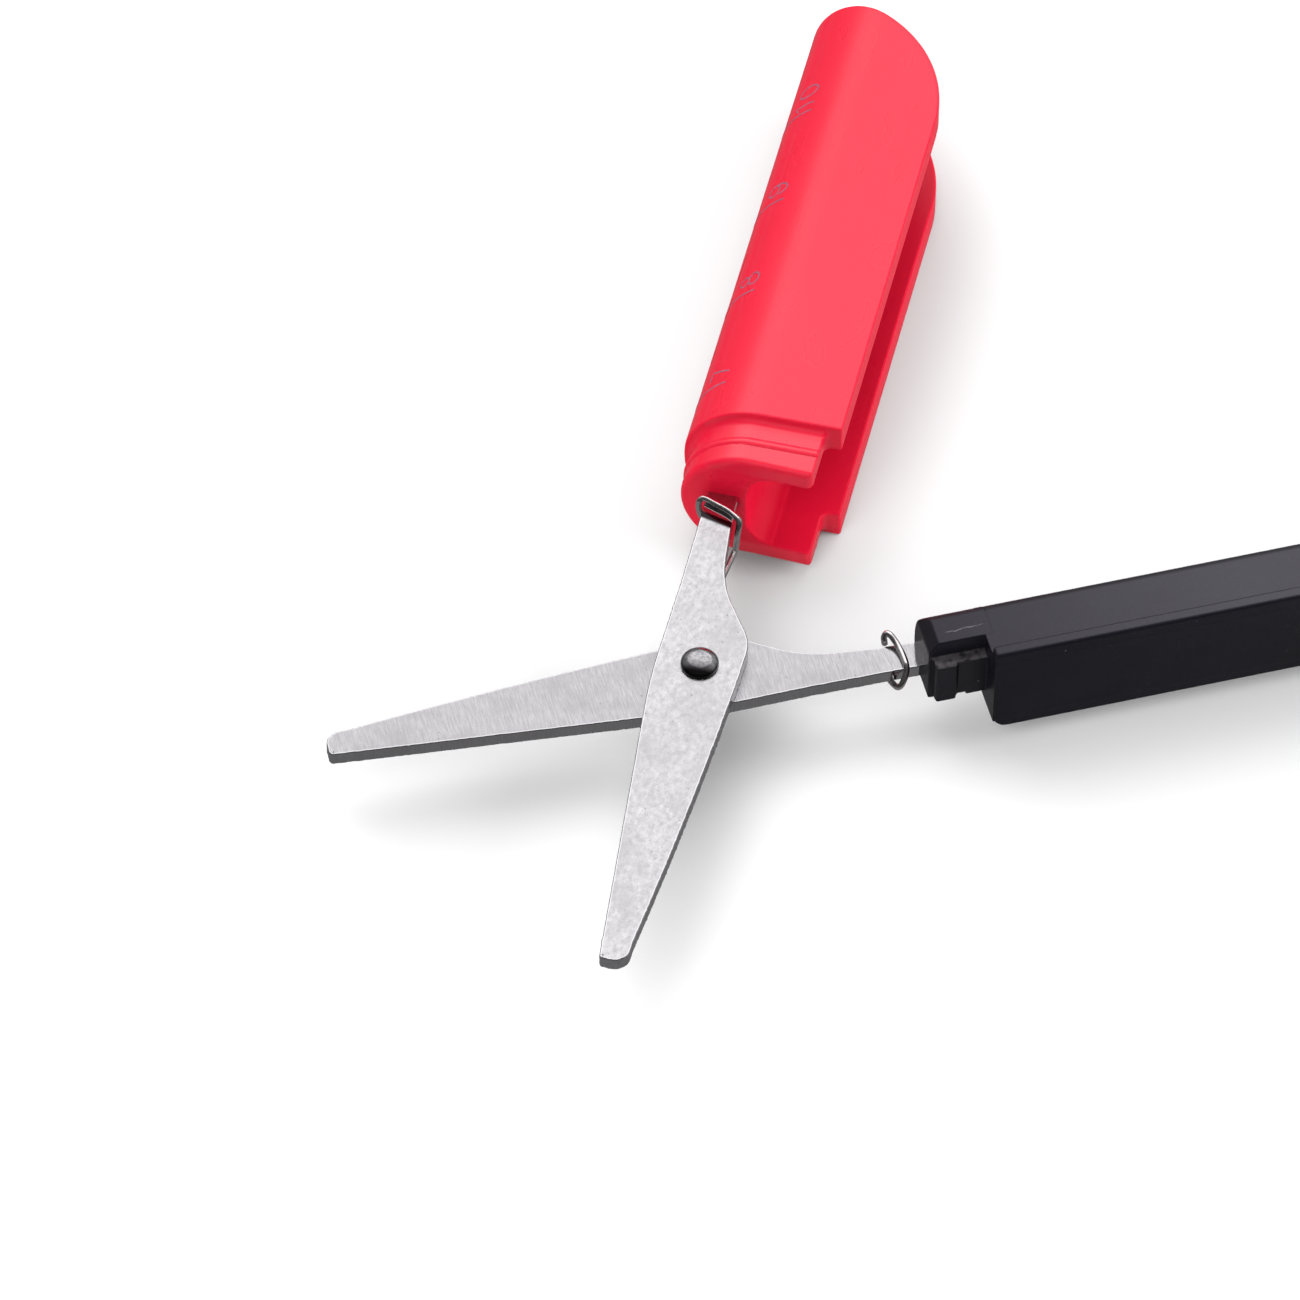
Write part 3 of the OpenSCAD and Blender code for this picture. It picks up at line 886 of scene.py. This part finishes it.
# strokes of each digit, in a field 1 high
DIGITS = {
    "0": [ellipse(0.31, 0.5, 0.29, 0.5)],
    "1": [[(-0.17, 0.8), (0.07, 1.0), (0.07, 0.0)]],
    "7": [[(0.02, 1.0), (0.5, 1.0), (0.2, 0.0)]],
    "8": [ellipse(0.31, 0.75, 0.22, 0.25), ellipse(0.31, 0.26, 0.29, 0.26)],
    "9": [ellipse(0.31, 0.7, 0.28, 0.3), ellipse(0.29, 0.55, 0.3, 0.55, 15, -160, 16)],
}
DIGIT_HEIGHT = 2.1
BASE_ANGLE = 52.0
INK_WIDTH, FINE_INK = 0.15, 0.09
INK_SUNK, INK_PROUD = -0.01, 0.014


def round_side(along, angle, lift):
    """Point on the round side of the red handle, at an angle up from its closed edge."""
    a, r = math.radians(angle), BODY_R + lift
    return (-r * WIDEN * math.cos(a), along, r * math.sin(a))


def print_stroke(stroke, width):
    """Thin film of ink along a stroke of (along, angle) points."""
    arc_scale = BODY_R * math.pi / 180
    flat = np.array([(s, a * arc_scale) for s, a in stroke])
    flat = divided_open(flat, 0.3)
    ahead = np.gradient(flat, axis=0)
    ahead /= np.linalg.norm(ahead, axis=1)[:, None]
    side = np.stack([-ahead[:, 1], ahead[:, 0]], axis=1) * width / 2
    points, faces = [], []
    for p, q in zip(flat, side):
        low, high = p - q, p + q
        corners = ((low, INK_SUNK), (low, INK_PROUD), (high, INK_PROUD), (high, INK_SUNK))
        for corner, lift in corners:
            points.append(round_side(corner[0], corner[1] / arc_scale, lift))
    for i in range(len(flat) - 1):
        for k in range(4):
            j = (k + 1) % 4
            faces.append((4 * i + k, 4 * i + j, 4 * i + 4 + j, 4 * i + 4 + k))
    end = 4 * (len(flat) - 1)
    faces += [(3, 2, 1, 0), (end, end + 1, end + 2, end + 3)]
    return points, faces


def divided_open(line, longest):
    kept = [line[0]]
    for a, b in zip(line[:-1], line[1:]):
        count = max(1, int(np.ceil(np.linalg.norm(b - a) / longest)))
        kept += [a + (b - a) * i / count for i in range(1, count + 1)]
    return np.array(kept)


def ruler_strokes():
    """(along, angle) lines of the marks and their numbers."""
    first_mark, per_degree = 25.25, 180 / math.pi / BODY_R
    fine_start, fine_count = 22.4, 44
    for i, text in enumerate(("7", "8", "9", "10")):
        mark = first_mark + 10 * i
        yield [(mark, BASE_ANGLE), (mark, 8)], INK_WIDTH
        start = mark + 0.8
        for letter in text:
            for stroke in DIGITS[letter]:
                yield [
                    (start + x * DIGIT_HEIGHT, BASE_ANGLE - y * DIGIT_HEIGHT * per_degree)
                    for x, y in stroke
                ], INK_WIDTH
            start += 0.5 * DIGIT_HEIGHT
    for i in range(fine_count):
        mark = fine_start + i
        if abs((mark - first_mark) % 10) > 0.01:
            long = abs((mark - first_mark) % 5) < 0.01
            yield [(mark, 12 if long else 4), (mark, -14)], FINE_INK


all_points, all_faces = [], []
for stroke, width in ruler_strokes():
    points, faces = print_stroke(stroke, width)
    shift = len(all_points)
    all_points += points
    all_faces += [tuple(shift + i for i in f) for f in faces]
make_piece("ruler_print", all_points, all_faces, "red", INK, smooth=False)

# ------------------------------------------------------------------ floor, light and camera


def floor():
    mesh = bpy.data.meshes.new("floor")
    size = 3.0
    corners = [(-size, -size, 0), (size, -size, 0), (size, size, 0), (-size, size, 0)]
    mesh.from_pydata(corners, [], [(0, 1, 2, 3)])
    material, _ = new_material(
        "floor", Roughness=0.9, Base_Color=(0.93, 0.93, 0.935, 1), Specular_IOR_Level=0.1
    )
    mesh.materials.append(material)
    plane = bpy.data.objects.new("floor", mesh)
    bpy.context.scene.collection.objects.link(plane)
    plane.visible_glossy = False


def softbox(name, azimuth, elevation, distance, size, power):
    """Round area light that points at the object, at an azimuth from +Y towards -X."""
    a, e = math.radians(azimuth), math.radians(elevation)
    away = Vector((-math.sin(a) * math.cos(e), math.cos(a) * math.cos(e), math.sin(e)))
    lamp = bpy.data.lights.new(name, "AREA")
    lamp.shape, lamp.size, lamp.energy = "DISK", size, power
    made = bpy.data.objects.new(name, lamp)
    made.location = away * distance
    made.rotation_mode = "QUATERNION"
    made.rotation_quaternion = away.to_track_quat("Z", "Y")
    bpy.context.scene.collection.objects.link(made)
    return made


floor()
key = softbox("key", azimuth=50, elevation=50, distance=0.6, size=0.5, power=1.2)
softbox("overhead", azimuth=14, elevation=56, distance=0.75, size=1.0, power=2.1)
side_fill = softbox("side_fill", azimuth=-80, elevation=20, distance=0.7, size=0.5, power=3.6)
front_fill = softbox("front_fill", azimuth=165, elevation=42, distance=0.8, size=0.7, power=3.5)
for lamp in (key, side_fill, front_fill):
    lamp.visible_glossy = False


def studio():
    """Room that is pale behind the object and overhead, and dim on the viewer's side."""
    world = bpy.data.worlds.new("studio")
    world.use_nodes = True
    tree = world.node_tree
    direction = tree.nodes.new("ShaderNodeTexCoord")
    split = tree.nodes.new("ShaderNodeSeparateXYZ")
    tree.links.new(direction.outputs["Generated"], split.inputs[0])

    def fade(axis, *ends):
        """Goes from the third value to the fourth as the axis goes from the first to the second."""
        made = tree.nodes.new("ShaderNodeMapRange")
        for index, value in enumerate(ends, start=1):
            made.inputs[index].default_value = value
        tree.links.new(split.outputs[axis], made.inputs[0])
        return made.outputs[0]

    def combined(a, b, operation):
        made = tree.nodes.new("ShaderNodeMath")
        made.operation = operation
        tree.links.new(a, made.inputs[0])
        tree.links.new(b, made.inputs[1])
        return made.outputs[0]

    sky = combined(fade("Z", -0.05, 0.7, 0.15, 0.7), fade("Y", -0.35, 0.3, 0.14, 1), "MULTIPLY")
    # a little light comes up from the table
    table = fade("Z", -0.35, 0.0, 0.2, 0)
    both_parts = combined(sky, table, "MAXIMUM")
    tree.links.new(both_parts, tree.nodes["Background"].inputs["Strength"])
    tree.nodes["Background"].inputs["Color"].default_value = (1, 1, 1, 1)
    bpy.context.scene.world = world


studio()
bpy.context.scene.view_settings.view_transform = "Standard"

TURN, ELEVATION, DISTANCE = math.radians(13.65), math.radians(50.5), 0.65
AIM_LEFT, AIM_UP, LENS = 0.00381, 0.001843, 234.4
right = Vector((math.cos(TURN), math.sin(TURN), 0))
ahead = Vector((-math.sin(TURN), math.cos(TURN), 0))
looking = ahead * math.cos(ELEVATION) - Vector((0, 0, math.sin(ELEVATION)))
upwards = ahead * math.sin(ELEVATION) + Vector((0, 0, math.cos(ELEVATION)))
aim = Vector(PIVOT) - right * AIM_LEFT + upwards * AIM_UP
camera = bpy.data.objects.new("camera", bpy.data.cameras.new("camera"))
camera.data.sensor_width, camera.data.lens = 36, LENS
camera.data.clip_start, camera.data.clip_end = 0.01, 20
axes = Matrix((right, upwards, -looking)).transposed().to_4x4()
camera.matrix_world = Matrix.Translation(aim - looking * DISTANCE) @ axes
bpy.context.scene.collection.objects.link(camera)
bpy.context.scene.camera = camera

bpy.context.view_layer.update()
